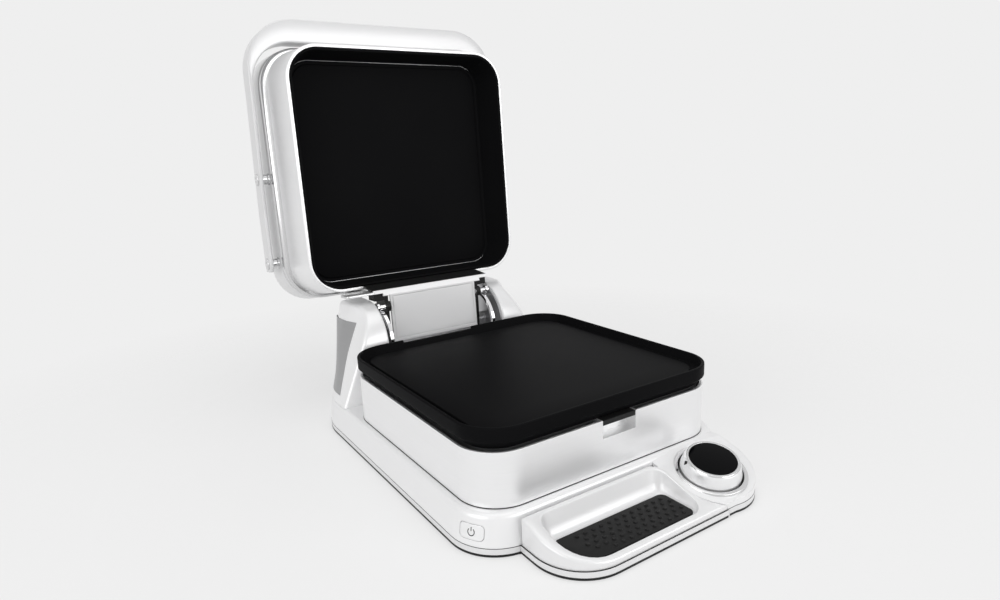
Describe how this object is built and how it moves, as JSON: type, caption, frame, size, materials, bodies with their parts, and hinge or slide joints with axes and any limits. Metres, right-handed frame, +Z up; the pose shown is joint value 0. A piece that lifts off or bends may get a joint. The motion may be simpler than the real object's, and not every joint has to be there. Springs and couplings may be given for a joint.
{
  "type": "contact grill",
  "caption": "Silver contact grill with a thick hinged lid standing open, deep black plates, U-shaped handle, front drip tray and a control knob with a round display",
  "frame": {"origin": "bottom centre of the bounding box, on the table", "axes": "X to the right as the user sees it, Y to the back, Z up"},
  "size_m": [0.3432, 0.5834, 0.4782],
  "materials": {
    "body_silver": "satin pearl silver paint",
    "base_silver": "satin silver paint",
    "brushed": "fine brushed",
    "bright": "bright",
    "plate": "satin non-stick coating on cast aluminium",
    "chrome": "polished",
    "steel": "mill finish",
    "black_steel": "black stove enamel",
    "brass": "plain",
    "black_plastic": "fine grain",
    "board": "circuit board",
    "display": "glossy black",
    "rubber": "matte black"
  },
  "bodies": {
    "base": {"base_pan": "base_silver", "base_feet": "rubber", "base_screws": "steel", "base_shell": "body_silver", "tower_left": "body_silver", "tower_right": "body_silver", "tower_inlays": "brushed", "rear_cover": "body_silver", "cord_gland": "black_plastic", "hinge_brackets": "steel", "hinge_pins": "chrome", "hinge_cheeks": "steel", "guide_rails": "chrome", "lid_springs": "steel", "lower_housing": "brushed", "lower_plate": "plate", "lower_reflector": "steel", "lower_heater": "steel", "lower_sensor": "steel", "lower_release_spring": "steel", "power_board": "board", "terminal_block": "black_plastic", "control_board": "board", "knob_collar": "bright", "display_pod": "black_plastic", "display_board": "board", "display_glass": "display", "power_switch": "black_plastic"},
    "lid": {"hinge_bracket": "black_steel", "hinge_arms": "black_steel", "hinge_bushes": "brass", "guide_pins": "chrome", "hinge_cover": "body_silver", "hinge_panel": "body_silver", "upper_housing": "brushed", "release_pocket": "black_plastic", "upper_release_spring": "steel", "upper_plate": "plate", "upper_reflector": "steel", "upper_heater": "steel", "upper_sensor": "steel", "lid_trim": "bright", "lid_cover": "body_silver", "handle": "body_silver", "handle_cover": "body_silver", "handle_spacers": "bright", "handle_screws": "bright"},
    "knob": {"knob_ring": "brushed", "encoder_rotor": "black_plastic"},
    "power_button": {"power_button": "brushed"},
    "tray": {"drip_tray": "body_silver", "tray_mat": "rubber"},
    "lower_release": {"lower_release": "black_plastic"},
    "upper_release": {"upper_release": "black_plastic"}
  },
  "joints": [
    {"name": "lid_hinge", "type": "hinge", "parent": "base", "child": "lid", "pos_m": [0, 0.12981, 0.0917], "axis": [1, 0, 0], "range_deg": [0, 93.3], "deforming": ["lid_springs"]},
    {"name": "knob_turn", "type": "hinge", "parent": "base", "child": "knob", "pos_m": [0.079, -0.25619, 0.0243], "axis": [-0.093, -0.2409, 0.9661], "continuous": true},
    {"name": "power_press", "type": "slide", "parent": "base", "child": "power_button", "axis": [0.8829, 0.4695, 0], "range_m": [0, 0.0012], "stiffness_N_per_m": 900, "springref_m": -0.0012},
    {"name": "tray_slide", "type": "slide", "parent": "base", "child": "tray", "axis": [0, -1, 0], "range_m": [0, 0.065]},
    {"name": "lower_release_push", "type": "slide", "parent": "base", "child": "lower_release", "axis": [0, 1, 0], "range_m": [0, 0.003], "stiffness_N_per_m": 700, "springref_m": -0.002, "deforming": ["lower_release_spring"]},
    {"name": "upper_release_push", "type": "slide", "parent": "lid", "child": "upper_release", "axis": [0, -0.0576, -0.9983], "range_m": [0, 0.003], "stiffness_N_per_m": 700, "springref_m": -0.002, "deforming": ["upper_release_spring"]}
  ]
}
